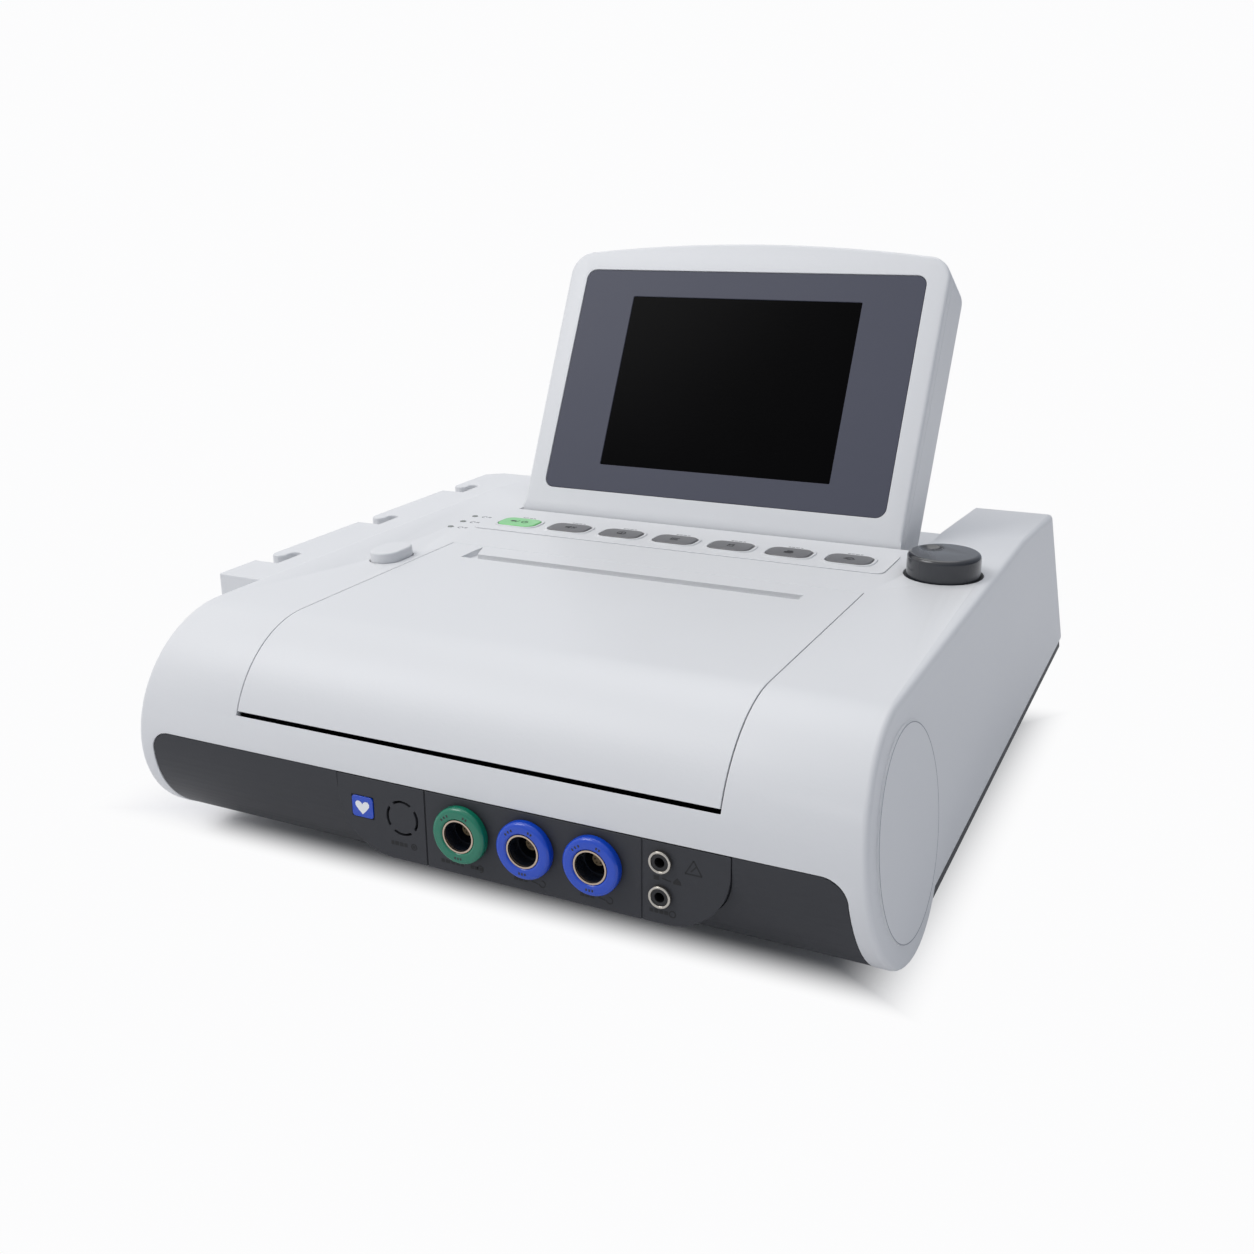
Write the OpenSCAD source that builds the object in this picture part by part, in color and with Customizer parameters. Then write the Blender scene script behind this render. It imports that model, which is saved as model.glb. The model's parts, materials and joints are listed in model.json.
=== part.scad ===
// Desktop chart recorder for a hospital ward: a low case with a rolled nose, a tilting screen,
// a paper door, a row of keys, a push knob, a probe shelf and a socket panel under the nose.
// Millimetres, +X right as seen from the front, +Y back, +Z up.
// The origin is the centre of the outer box at table level.

/* [Body] */
// Width of the deck between the side walls
deck_w = 284; // [276:1:345]
// Depth of the body from the nose to the foot of the back
body_d = 347; // [335:1:420]
// Height of the deck above the table at the nose
nose_top = 100; // [98:1:120]
// Radius of the rolled nose
nose_r = 45; // [44:0.5:47]
// Spread of each side wall per millimetre downwards
draft = 0.12; // [0.08:0.01:0.14]
// Rise of the deck per millimetre towards the screen
deck_rise = 0.022; // [0.01:0.002:0.03]
// Wall of the case mouldings
wall = 2.6; // [2.2:0.1:3.1]
// Height of the case's lower edge above the table at the back
rear_foot = 32.5; // [28:0.5:36]
// Lean of the back, from its foot to the deck
rear_run = 15; // [12:1:18]
// Drop of the deck from the crease behind the screen to the back
rear_fall = 3.2; // [2:0.1:4]
// Radius of the raised disc on each side
disc_r = 36.7; // [30:0.1:38]
// Height of that disc above the side
disc_proud = 0.8; // [0.4:0.1:1]

/* [Screen] */
// Distance from the foot of the screen to the foot of the back
screen_set = 125; // [120:1:135]
// Sideways offset of the screen from the middle of the deck
screen_x = -4; // [-6:1:0]
// Width of the screen housing at its foot
screen_w = 196; // [180:1:198]
// Width of the screen housing at its top corners
screen_top_w = 198; // [184:1:200]
// Length of the housing from the hinge axis to the crown of its top edge
screen_len = 139.2; // [136:0.2:150]
// Thickness of the screen housing
screen_t = 31; // [29:0.5:33]
// Lean of the screen from upright at rest
screen_lean = 26.6; // [20:0.2:30]
// Width of the recess that the folded screen lies in
recess_w = 207.4; // [206.4:0.2:218]
// Width of the dark mask
mask_w = 176.7; // [168:0.1:178]
// Height of the dark mask
mask_h = 116.2; // [106:0.1:118]
// Width of the display glass
glass_w = 119.3; // [100:0.1:122]
// Height of the display glass
glass_h = 88.5; // [80:0.1:92]
// Radius of the hinge pins
pin_r = 3; // [2.5:0.1:3.5]
// Half the distance between the two hinge brackets
bracket_x = 60; // [45:1:70]

/* [Paper door] */
// Width of the paper door
door_w = 196; // [190:1:198]
// Distance from the rear edge of the door to the foot of the screen
door_set = 70; // [68:1:76]
// Angle of the lower edge of the door above the middle of the nose
door_low = 20.7; // [19:0.1:24]
// Thickness of the door
door_t = 3; // [2.6:0.1:3.4]
// Gap round the sides and the rear of the door
door_gap = 0.4; // [0.3:0.05:0.6]
// Width of the paper slot
slot_w = 154; // [152:1:158]
// Gap of the paper slot
slot_gap = 4.6; // [4.4:0.1:6]
// Width of the chart paper
paper_w = 150; // [148:1:151]

/* [Controls] */
// Distance between neighbouring keys
key_pitch = 27.7; // [25:0.1:28]
// Width of a key
key_w = 20; // [17:0.5:22]
// Depth of a key
key_d = 13.5; // [12:0.5:15]
// Travel of a key
key_travel = 0.8; // [0.4:0.1:0.9]
// Radius of the knob
knob_r = 15.3; // [12:0.1:15.6]
// Height of the knob above the deck
knob_h = 9.5; // [8:0.5:14]
// Width of the door release button
release_w = 14; // [12:0.5:17]
// Length of the door release button
release_l = 22; // [20:1:30]
// Travel of the door release button
release_travel = 2.5; // [1:0.1:2.8]

/* [Sockets] */
// Width of the socket plate
plate_w = 153.8; // [150:0.1:160]
// Distance between neighbouring sockets
socket_pitch = 25.8; // [24:0.1:27]
// Radius of a coloured socket ring
ring_r = 10.6; // [9.5:0.1:11.5]
// Height of a socket ring above the plate
ring_proud = 4; // [3:0.1:5]
// Radius of a socket's bore
socket_r = 5.6; // [4.8:0.1:5.8]
// Free depth of a socket's bore
socket_deep = 6.4; // [5:0.1:7]
// Radius of a jack's bore
jack_r = 1.8; // [1.6:0.1:2]

/* [Shelf] */
// Reach of the probe shelf beyond the deck
shelf_w = 36; // [32:1:44]
// Drop of the shelf below the deck
shelf_drop = 5.5; // [4:0.5:7]
// Thickness of the shelf
shelf_t = 13; // [10:0.5:16]
// Distance between neighbouring holder hooks
hook_pitch = 77.5; // [60:0.5:80]

/* [Fits] */
// Gap between fixed parts that sit in each other
seat = 0.2; // [0.1:0.05:0.3]
// Radial clearance of a shaft or pin that turns
running = 0.05; // [0.03:0.01:0.09]
// Gap round a button or key
button_gap = 0.4; // [0.3:0.05:0.5]

/* [Hidden] */
$fn = 64;

// Colours
case_white = [0.86, 0.87, 0.88];
band_grey = [0.27, 0.27, 0.29];
slate = [0.30, 0.31, 0.37];
board_green = [0.10, 0.35, 0.20];
steel = [0.72, 0.73, 0.75];

// Body outline
front_y = -(body_d + ring_proud) / 2 + ring_proud;
rear_y = front_y + body_d;
nose_y = front_y + nose_r;
nose_z = nose_top - nose_r;
nose_bottom = nose_top - 2 * nose_r;
join_angle = 50;
join_pt = [nose_y + nose_r * cos(join_angle), nose_z - nose_r * sin(join_angle)];
nose_end = join_pt[0] + 0.4;
deck_lean = atan(deck_rise);
screen_y = rear_y - screen_set;
crease_y = screen_y + 36.5;
function deck(y) = nose_top + deck_rise * (y - nose_y);
crease_pt = [crease_y, deck(crease_y)];
top_pt = [rear_y - rear_run, deck(crease_y) - rear_fall];
foot_pt = [rear_y, rear_foot];
rear_lean = atan(rear_run / (top_pt[1] - rear_foot));
function side_x(z) = deck_w / 2 + draft * (deck(screen_y) - z);
function edge_z(y) = join_pt[1] + (foot_pt[1] - join_pt[1]) * (y - join_pt[0]) / (foot_pt[0] - join_pt[0]);
mid_x = (deck_w / 2 + shelf_w - side_x(nose_bottom)) / 2;

// Screen and hinge
half_t = screen_t / 2;
axis_up = 5.25;
axis_y = screen_y + axis_up * sin(screen_lean) + half_t * cos(screen_lean);
axis_z = deck(screen_y) + axis_up * cos(screen_lean) - half_t * sin(screen_lean);
recess_y = screen_y - 0.5;
recess_clear = 1;
recess_z = axis_z - half_t - recess_clear;
corner_r = 12;
crown = 5;
crown_r = (pow(screen_top_w / 2 - corner_r, 2) + pow(crown, 2)) / (2 * crown);
corner_z = screen_len - crown - corner_r;
bezel_t = 7;
split_y = -half_t + bezel_t;
mask_z = 66;
mask_set = 0.3;
mask_t = 1.6;
mask_r = 5;
glass_set = 0.6;
lcd_front = -half_t + mask_set + mask_t + 0.1;
lcd_t = 5.8;
board_t = 1.6;
bracket_w = 14;
bracket_d = 12;
barrel_r = 7;
bracket_gap = 0.8;
screw_r = 1.5;
screen_boss_x = screen_w / 2 - 6.5;
screen_boss_z = [20, 115];

// Paper door and printer
door_rear = screen_y - door_set;
hinge_ang = 30;
hinge_in = 7;
hinge_y = nose_y - (nose_r - hinge_in) * cos(hinge_ang);
hinge_z = nose_z + (nose_r - hinge_in) * sin(hinge_ang);
hinge_r = 1.5;
lug_r = 3.2;
lug_x = door_w / 2 - 4;
lug_t = 5;
low_gap = 2;
slot_y = door_rear - 18.7;
slot_deep = 2.2;
step_run = 1.8;
scoop = [4.6, 17.2];
platen_y = slot_y - 8.6;
platen_drop = 10.6;
platen_z = deck(platen_y) - platen_drop;
platen_r = 6;
shaft_r = 2.5;
bearing_x = slot_w / 2 + 6;
gear_x = bearing_x + 6.5;
gear_t = 5;
gear_m = 0.8;
gear_teeth = 16;
pinion_teeth = 12;
gear_centres = gear_m * (gear_teeth + pinion_teeth) / 2 + 0.12;
motor_r = 13;
motor_len = 16;
bay_x = door_w / 2 + 0.8;
bay_wall = 1.8;
tray_y0 = nose_y - 25;
tray_y1 = platen_y - 11;
tray_z = nose_z + 11;
chassis_drop = 30;

// Keys, knob and release
key_y = screen_y - 28;
strip_y = key_y + 1;
strip_w = 204;
strip_d = 31;
strip_lip = 4;
strip_up = 0.5;
strip_t = 3.8;
rim = 1.7;
rim_up = 0.5;
key_up = 0.8;
key_flange = 1.2;
key_post = 3.3;
key_r = 4.5;
stem_low = strip_t - strip_up + key_flange + 1.1;
switch_clear = 0.15;
knob_x = 120.7;
knob_y = screen_y - 31;
well_r = knob_r + 1.2;
well_deep = 6;
cup_wall = 1.6;
knob_low = 4.6;
knob_travel = 0.6;
spindle_r = 3;
bush_r = 4.5;
release_x = -110;
release_y = slot_y - 13;
release_up = 4.5;
release_deep = 5.8;
release_low = release_travel + 0.9;
stem_w = 6;
latch_t = 4;
latch_w = 12;
latch_drop = release_deep + cup_wall + 0.5;
led_x = -116;
led_y = [screen_y - 45, screen_y - 34, screen_y - 23];
led_r = 1.4;

// Socket plate
band_top = nose_z + 1.5;
band_margin = 7.4;
band_r = 9;
band_flush = 0.2;
plate_x = 26.3;
plate_z0 = nose_z - 28;
plate_z1 = band_top - seat;
plate_r = 23;
plate_wall = 2.4;
plate_deep = 16;
socket_x = [for (i = [0:2]) 3.1 + i * socket_pitch];
socket_z = nose_z - 11.5;
blank_x = 3.1 - socket_pitch;
liner_r = 6.2;
shell_r = 8;
shell_deep = 13;
core_r = 2.3;
jack_x = 79;
jack_z = [nose_z - 5.2, nose_z - 17.8];
jack_neck = 3;
jack_nut = 4;
emblem_x = -39.8;
emblem_z = nose_z - 10.3;

// Base
base_z = 8;
lip_t = 4;
lip_in = 1.2;
tub_half = deck_w / 2 - 6;
tub_y0 = join_pt[0];
tub_y1 = rear_y - 14;
foot_xy = [for (x = [-1, 1], y = [tub_y0 + 20, tub_y1 - 22]) [x * (tub_half - 22), y]];
foot_r = 9;
boss_xy = [for (x = [-1, 1], y = [tub_y0 + 14, (tub_y0 + rear_y) / 2, rear_y - 14]) [x, y]];
boss_in = 9;
boss_up = 14;

// Back
rear_panel_x = -45;
panel_w = 150;
panel_h = 36;
panel_up = 29;
inlet_x = -40;
switch_x = 2;
rocker_r = 7;
battery = [92, 56, 22];
battery_x = -52;
battery_y = tub_y0 + 50;
board_x = 64;
board_size = [118, 178];
board_y = tub_y0 + 115;
board_up = 32;

// ---- helpers ----

// A flat outline in Y and Z, carried along X about the middle of the deck
module along_x(w, x = 0)
    translate([mid_x + x, 0, 0]) rotate([90, 0, 90]) linear_extrude(height = w, center = true) children();

// A flat outline in X and Z, carried back along Y from y by d
module along_y(y, d)
    translate([mid_x, y + d, 0]) rotate([90, 0, 0]) linear_extrude(height = d) children();

// A round bar along +Y from y
module bar_y(x, z, y, d, r)
    translate([mid_x + x, y, z]) rotate([-90, 0, 0]) cylinder(h = d, r = r);

// A round bar along X about x
module bar_x(x, y, z, w, r)
    translate([mid_x + x, y, z]) rotate([0, 90, 0]) cylinder(h = w, r = r, center = true);

// A block centred in X and Y, from z0 to z1
module block(w, d, z0, z1)
    translate([-w / 2, -d / 2, z0]) cube([w, d, z1 - z0]);

// The frame of the deck at a place on it
module on_deck(x, y)
    translate([mid_x + x, y, deck(y)]) rotate([deck_lean, 0, 0]) children();

// The frame of the back: local y points out of it, local z up along it
module on_back(x, up)
    translate([mid_x + x, foot_pt[0] - up * sin(rear_lean), foot_pt[1] + up * cos(rear_lean)])
        rotate([rear_lean, 0, 0]) children();

// The frame of the screen: the hinge axis is its x axis, local y points back
module on_screen()
    translate([mid_x + screen_x, axis_y, axis_z]) rotate([-screen_lean, 0, 0]) children();

// Rectangle with round corners
module rounded(w, d, r) {
    square([w - 2 * r, d], center = true);
    square([w, d - 2 * r], center = true);
    for (x = [-1, 1], y = [-1, 1])
        translate([x * (w / 2 - r), y * (d / 2 - r)]) circle(r = r);
}

// A rounded rectangle in local X and Z, carried along local Y from y to y + d
module plate_y(w, h, r, y, d)
    translate([0, y + d, 0]) rotate([90, 0, 0]) linear_extrude(height = d) rounded(w, h, r);

// Space between the two side walls, less an inset
module between_sides(inset)
    along_y(-2 * body_d, 4 * body_d)
        polygon([[inset - side_x(-40), -40], [side_x(-40) - inset, -40],
                 [side_x(200) - inset, 200], [inset - side_x(200), 200]]);

// Sector of a ring about the middle of the nose, angles up from the front
module nose_ring(r0, r1, a0, a1)
    translate([nose_y, nose_z]) intersection() {
        difference() {
            circle(r = r1, $fn = 160);
            circle(r = r0, $fn = 160);
        }
        polygon(concat([[0, 0]], [for (i = [0:6]) let (a = a0 + (a1 - a0) * i / 6)
            1.3 * r1 * [-cos(a), sin(a)]]));
    }

// Gear wheel along +X with straight flanks; phase turns it in degrees
module gear(teeth, w, phase) {
    pitch = gear_m * teeth / 2;
    step = 360 / teeth;
    rotate([90, 0, 90]) linear_extrude(height = w, center = true) rotate(phase)
        polygon([for (i = [0:teeth - 1], k = [[-0.27, -1.15], [-0.1, 0.85], [0.1, 0.85], [0.27, -1.15]])
            (pitch + k[1] * gear_m) * [cos((i + k[0]) * step), sin((i + k[0]) * step)]]);
}

// ---- case ----

module body_profile() {
    translate([nose_y, nose_z]) circle(r = nose_r, $fn = 160);
    polygon([[nose_y, nose_top], crease_pt, top_pt, foot_pt, join_pt]);
}

module cavity_profile() {
    translate([nose_y, nose_z]) circle(r = nose_r - wall, $fn = 160);
    polygon([[nose_y, nose_top - wall], crease_pt - [0, wall], top_pt - [wall, wall],
             foot_pt - [wall, 0], [rear_y - wall, -20], [nose_end, -20], [nose_end, nose_z]]);
}

module envelope()
    intersection() {
        along_x(2 * deck_w) body_profile();
        between_sides(0);
    }

// Front outline of the dark band, grown by g
module band_outline(g) {
    z0 = nose_bottom - 5;
    z1 = band_top + g;
    zc = z1 - band_r;
    function half(z) = side_x(z) - band_margin + g;
    polygon([[-half(z0), z0], [half(z0), z0], [half(zc), zc], [half(zc) - band_r, z1],
             [band_r - half(zc), z1], [-half(zc), zc]]);
    for (s = [-1, 1])
        translate([s * (half(zc) - band_r), zc]) circle(r = band_r);
}

// Front outline of the socket plate, grown by g
module plate_outline(g, z1) {
    w = plate_w / 2 + g;
    r = plate_r + g;
    z0 = plate_z0 - g;
    translate([plate_x, 0]) {
        translate([-w, z0 + r]) square([2 * w, z1 - z0 - r]);
        translate([r - w, z0]) square([2 * (w - r), r]);
        intersection() {
            for (s = [-1, 1])
                translate([s * (w - r), z0 + r]) circle(r = r);
            translate([-w, z0]) square([2 * w, r]);
        }
    }
}

// Outline that the door covers, with its edges moved out by side and low
module door_region(rear_gap, low_out, low_in) {
    a0 = door_low - low_out;
    a1 = door_low - low_in;
    function at(r, a) = [nose_y - r * cos(a), nose_z + r * sin(a)];
    y = door_rear + rear_gap;
    polygon([at(nose_r + 12, a0), at(nose_r, a0), at(nose_r - 9, a1), [nose_y, nose_top - 12],
             [y, deck(y) - 12], [y, deck(y) + 20], [front_y - 12, nose_top + 20]]);
}

module recess_block()
    translate([mid_x - recess_w / 2 - wall, recess_y - wall, recess_z - wall])
        cube([recess_w + 2 * wall, rear_y, 60]);

module recess_space()
    translate([mid_x - recess_w / 2, recess_y, recess_z]) cube([recess_w, rear_y, 60]);

// Raised or sunk disc in the plane of a side wall, s = 1 right and -1 left
module side_disc(s)
    translate([mid_x + s * side_x(nose_z), nose_y, nose_z]) rotate([0, s * (90 - atan(draft)), 0])
        cylinder(h = 2 * (disc_proud + 1), r = disc_r, center = true, $fn = 128);

module release_outline(g)
    rounded(release_w + 2 * g, release_l + 2 * g, release_w / 2 + g - 0.01);

module upper_case()
    color(case_white) difference() {
        union() {
            difference() {
                envelope();
                intersection() {
                    along_x(2 * deck_w) cavity_profile();
                    between_sides(wall);
                }
            }
            intersection() {
                envelope();
                recess_block();
            }
            intersection() {
                for (s = [-1, 1]) side_disc(s);
                between_sides(-disc_proud);
                translate([-deck_w, nose_y - nose_r, nose_bottom]) cube([2 * deck_w + 100, 2 * nose_r, 2 * nose_r]);
                union() {
                    translate([mid_x - 2 * deck_w, -body_d, 0])
                        cube([2 * deck_w - side_x(nose_top + 5) + 1, 2 * body_d, 200]);
                    translate([mid_x + side_x(nose_top + 5) - 1, -body_d, 0])
                        cube([2 * deck_w, 2 * body_d, 200]);
                }
            }
            // Ledge behind the top edge of the band
            intersection() {
                along_x(2 * deck_w) {
                    nose_ring(nose_r - wall - 2.2, nose_r - wall - seat, -5, 8);
                    nose_ring(nose_r - wall - 2.2, nose_r - wall / 2, 3.2, 8);
                }
                between_sides(wall / 2);
            }
            on_deck(knob_x, knob_y)
                translate([0, 0, -well_deep - cup_wall]) cylinder(h = well_deep, r = well_r + cup_wall);
            on_deck(release_x, release_y) {
                translate([0, 0, -release_deep - cup_wall])
                    linear_extrude(height = release_deep) release_outline(button_gap + cup_wall);
                // Guides of the latch
                for (s = [-1, 1])
                    translate([-8, s * (latch_w / 2 + seat + 1) - 1, -latch_drop - latch_t])
                        cube([16, 2, latch_t + 1.5]);
            }
            // Posts of the key board
            for (s = [-1, 1], y = [-9, 9])
                on_deck(screen_x + s * (strip_w / 2 - 0.8), strip_y + y)
                    translate([0, 0, -key_post - strip_t]) cylinder(h = key_post + strip_t - wall / 2, r = 1.8);
            // Bosses of the case screws
            for (p = boss_xy) {
                x = p[0] * (side_x(edge_z(p[1])) - boss_in);
                intersection() {
                    translate([mid_x + x, p[1], edge_z(p[1])]) {
                        translate([0, 0, 0.3]) cylinder(h = boss_up - 0.3, r = 4);
                        translate([p[0] > 0 ? 0 : -boss_in, -1.5, 1]) cube([boss_in, 3, boss_up - 1]);
                    }
                    between_sides(wall / 2);
                    translate([-deck_w, -body_d, 0]) cube([2 * deck_w, body_d + rear_y - wall / 2, 90]);
                }
            }
        }
        recess_space();
        along_x(door_w + 2 * door_gap) door_region(door_gap, low_gap, low_gap + 6);
        difference() {
            along_y(front_y - 20, nose_r + 28) band_outline(seat);
            along_x(2 * deck_w) translate([nose_y, nose_z]) circle(r = nose_r - wall - seat / 2, $fn = 160);
        }
        along_y(front_y - 20, 20 + plate_deep + seat) plate_outline(seat, band_top);
        on_deck(screen_x, strip_y) block(strip_w - 2 * strip_lip + 2 * seat, strip_d - 2 * strip_lip + 2 * seat, -5, 5);
        on_deck(knob_x, knob_y) {
            translate([0, 0, -well_deep]) cylinder(h = well_deep + 5, r = well_r);
            translate([0, 0, -well_deep - 5]) cylinder(h = 10, r = bush_r + seat);
        }
        on_deck(release_x, release_y) {
            translate([0, 0, -release_deep]) linear_extrude(height = release_deep + 5) release_outline(button_gap);
            block(stem_w + 2 * button_gap, stem_w + 2 * button_gap, -release_deep - 5, 0);
        }
        for (y = led_y) on_deck(led_x, y) translate([0, 0, -5]) cylinder(h = 10, r = led_r + running);
        on_back(rear_panel_x, panel_up) plate_y(panel_w + 2 * seat, panel_h + 2 * seat, 3, -6, 12);
        for (p = boss_xy)
            translate([mid_x + p[0] * (side_x(edge_z(p[1])) - boss_in), p[1], edge_z(p[1]) - 5])
                cylinder(h = boss_up + 1, r = screw_r + running);
        // Screw holes of the hinge brackets
        for (s = [-1, 1]) on_hinge_bracket(s)
            translate([0, 0, -half_t - recess_clear - 5]) cylinder(h = 6, r = screw_r + 0.2);
    }

module lower_case()
    color([0.33, 0.34, 0.37]) difference() {
        union() {
            intersection() {
                along_x(2 * deck_w) polygon([[tub_y0, edge_z(tub_y0)], [tub_y0, edge_z(tub_y0) - lip_t],
                    [rear_y - lip_in, edge_z(rear_y - lip_in) - lip_t], [rear_y - lip_in, edge_z(rear_y - lip_in)]]);
                between_sides(lip_in);
            }
            along_x(2 * tub_half) polygon([[tub_y0, edge_z(tub_y0) - lip_t / 2], [tub_y0 + 4, base_z],
                [tub_y1, base_z], [tub_y1 + 5, edge_z(tub_y1 + 5) - lip_t / 2]]);
            for (y = [-1, 1], x = [-1, 1])
                translate([mid_x + board_x + x * (board_size[0] / 2 - 5), board_y + y * (board_size[1] / 2 - 5), base_z])
                    cylinder(h = board_up - base_z, r = 3.5);
        }
        difference() {
            along_x(2 * (tub_half - wall)) polygon([[tub_y0 + wall, 60], [tub_y0 + 4 + wall, base_z + wall],
                [tub_y1 - wall, base_z + wall], [tub_y1 + 5 - wall, 60]]);
            for (y = [-1, 1], x = [-1, 1])
                translate([mid_x + board_x + x * (board_size[0] / 2 - 5), board_y + y * (board_size[1] / 2 - 5), base_z])
                    cylinder(h = board_up - base_z, r = 3.5);
        }
        translate([mid_x + battery_x, battery_y, 0]) {
            block(battery[0] + 8, battery[1] + 8, base_z - 1, base_z + 1.6);
            block(battery[0] + 2, battery[1] + 2, base_z - 1, base_z + 10);
        }
        for (p = foot_xy) translate([mid_x + p[0], p[1], base_z - 1]) cylinder(h = 10, r = 3 + seat);
        for (p = boss_xy)
            translate([mid_x + p[0] * (side_x(edge_z(p[1])) - boss_in), p[1], edge_z(p[1])]) {
                translate([0, 0, -20]) cylinder(h = 40, r = screw_r + 0.2);
                translate([0, 0, -22]) cylinder(h = 20, r = 3.4);
            }
    }

module battery_cover()
    color([0.33, 0.34, 0.37]) translate([mid_x + battery_x, battery_y, 0])
        difference() {
            block(battery[0] + 8 - 2 * seat, battery[1] + 8 - 2 * seat, base_z, base_z + 1.6);
            block(24, 5, base_z - 1, base_z + 0.6);
        }

module feet()
    color([0.12, 0.12, 0.13]) for (p = foot_xy) translate([mid_x + p[0], p[1], 0]) {
        cylinder(h = base_z, r1 = foot_r - 1, r2 = foot_r);
        cylinder(h = base_z + 4, r = 3);
    }

module case_screws()
    color(steel) for (p = boss_xy)
        translate([mid_x + p[0] * (side_x(edge_z(p[1])) - boss_in), p[1], edge_z(p[1]) - 2]) {
            translate([0, 0, -1.9]) cylinder(h = 1.9, r = 2.8);
            cylinder(h = 12, r = screw_r);
        }

module front_band()
    color(band_grey) difference() {
        intersection() {
            along_x(2 * deck_w) nose_ring(nose_r - wall, nose_r - band_flush, -97, 10);
            along_y(front_y - 20, nose_r + 27) band_outline(0);
        }
        along_y(front_y - 20, 60) plate_outline(seat, nose_top);
    }

module socket_plate()
    color(band_grey) difference() {
        along_y(front_y, plate_deep) plate_outline(0, plate_z1);
        along_y(front_y + plate_wall, plate_deep) plate_outline(-plate_wall, plate_z1 - plate_wall);
        for (x = socket_x) bar_y(x, socket_z, front_y - 1, 10, shell_r + 0.15);
        difference() {
            bar_y(blank_x, socket_z, front_y - 1, 10, 6.8);
            bar_y(blank_x, socket_z, front_y - 2, 12, 5.9);
            translate([mid_x + blank_x, front_y, socket_z]) for (a = [45, 135]) rotate([0, a, 0])
                cube([30, 20, 2.4], center = true);
        }
        for (z = jack_z) bar_y(jack_x, z, front_y - 1, 10, jack_neck + running);
        translate([mid_x + emblem_x, front_y, emblem_z]) cube([9.6, 1, 8.6], center = true);
        for (x = [blank_x + 10, jack_x - 6.8])
            translate([mid_x + x, front_y, plate_z0]) translate([-0.25, -1, -1]) cube([0.5, 1.4, 60]);
    }

module emblem_plate()
    color([0.05, 0.27, 0.62]) translate([mid_x + emblem_x, front_y + 0.5, emblem_z])
        plate_y(9.2, 8.2, 1.2, -0.8, 0.8);

module socket_ring()
    rotate([90, 0, 0]) rotate_extrude($fn = 96) difference() {
        union() {
            translate([liner_r + 0.1, 0]) square([ring_r - liner_r - 1.6, ring_proud]);
            translate([liner_r + 0.1, 0]) square([ring_r - liner_r - 0.1, ring_proud - 1.5]);
            translate([ring_r - 1.6, ring_proud - 1.6]) circle(r = 1.6);
        }
        translate([0, -4]) square([20, 4]);
    }

module socket_ring_green()
    color([0.05, 0.54, 0.40]) translate([mid_x + socket_x[0], front_y, socket_z]) socket_ring();

module socket_rings_blue()
    color([0.04, 0.30, 0.85]) for (x = [socket_x[1], socket_x[2]])
        translate([mid_x + x, front_y, socket_z]) socket_ring();

module socket_shells()
    color(steel) for (x = socket_x) difference() {
        union() {
            bar_y(x, socket_z, front_y - ring_proud + 0.4, ring_proud + shell_deep - 0.4, liner_r);
            bar_y(x, socket_z, front_y + 0.1, shell_deep - 0.1, shell_r);
        }
        bar_y(x, socket_z, front_y - ring_proud, socket_deep + 0.4, socket_r);
        bar_y(x, socket_z, front_y - ring_proud, shell_deep + ring_proud - 2, socket_r - 0.5);
        bar_y(x, socket_z, front_y, shell_deep + 1, 3.2 + 0.1);
    }

module socket_cores()
    color([0.45, 0.36, 0.25]) for (x = socket_x) difference() {
        union() {
            bar_y(x, socket_z, front_y - ring_proud + socket_deep + 0.6, shell_deep + ring_proud - socket_deep - 0.6, core_r);
            bar_y(x, socket_z, front_y + shell_deep - 3.4, 3.4, 3.2);
        }
        for (a = [0:60:300])
            translate([mid_x + x + 1.4 * cos(a), front_y - ring_proud + socket_deep - 1, socket_z + 1.4 * sin(a)])
                rotate([-90, 0, 0]) cylinder(h = 3, r = 0.35);
    }

module socket_board()
    color(board_green) difference() {
        translate([mid_x + 28, front_y + shell_deep + 0.1 + board_t / 2, socket_z + 0.5])
            cube([126, board_t, 19], center = true);
        for (x = [-30, 0, 57]) bar_y(x + 28, socket_z + 6, front_y, 30, 1);
    }

module jack_bodies()
    color([0.12, 0.12, 0.13]) for (z = jack_z) difference() {
        union() {
            bar_y(jack_x, z, front_y - 1.2, plate_wall + 1.2, jack_neck);
            translate([mid_x + jack_x - 4, front_y + plate_wall, z - 4]) cube([8, shell_deep - plate_wall, 8]);
        }
        bar_y(jack_x, z, front_y - 2, 12, jack_r);
    }

module jack_nuts()
    color(steel) for (z = jack_z) difference() {
        bar_y(jack_x, z, front_y - 1.6, 1.6, jack_nut);
        bar_y(jack_x, z, front_y - 2, 3, jack_neck + running);
    }

// ---- deck ----

module key_strip()
    color(case_white) on_deck(screen_x, strip_y) difference() {
        union() {
            linear_extrude(height = strip_up) rounded(strip_w, strip_d, 4);
            block(strip_w - 2 * strip_lip, strip_d - 2 * strip_lip, strip_up - strip_t, strip_up);
            for (i = [-3:3]) translate([i * key_pitch, key_y - strip_y, 0])
                linear_extrude(height = strip_up + rim_up)
                    rounded(key_w + 2 * rim, key_d + 2 * rim, key_r + rim);
        }
        for (i = [-3:3]) translate([i * key_pitch, key_y - strip_y, -10])
            linear_extrude(height = 20) rounded(key_w + 2 * button_gap, key_d + 2 * button_gap, key_r + button_gap);
    }

module key(i, paint)
    color(paint) on_deck(screen_x + (i - 3) * key_pitch, key_y) {
        translate([0, 0, strip_up - strip_t - key_flange])
            linear_extrude(height = strip_t + key_up + key_flange) rounded(key_w, key_d, key_r);
        translate([0, 0, strip_up - strip_t - 0.05 - key_flange])
            linear_extrude(height = key_flange) rounded(key_w + 2, key_d + 2, key_r + 1);
        translate([0, 0, -stem_low]) cylinder(h = 1.5, r = 2.4);
    }

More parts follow.
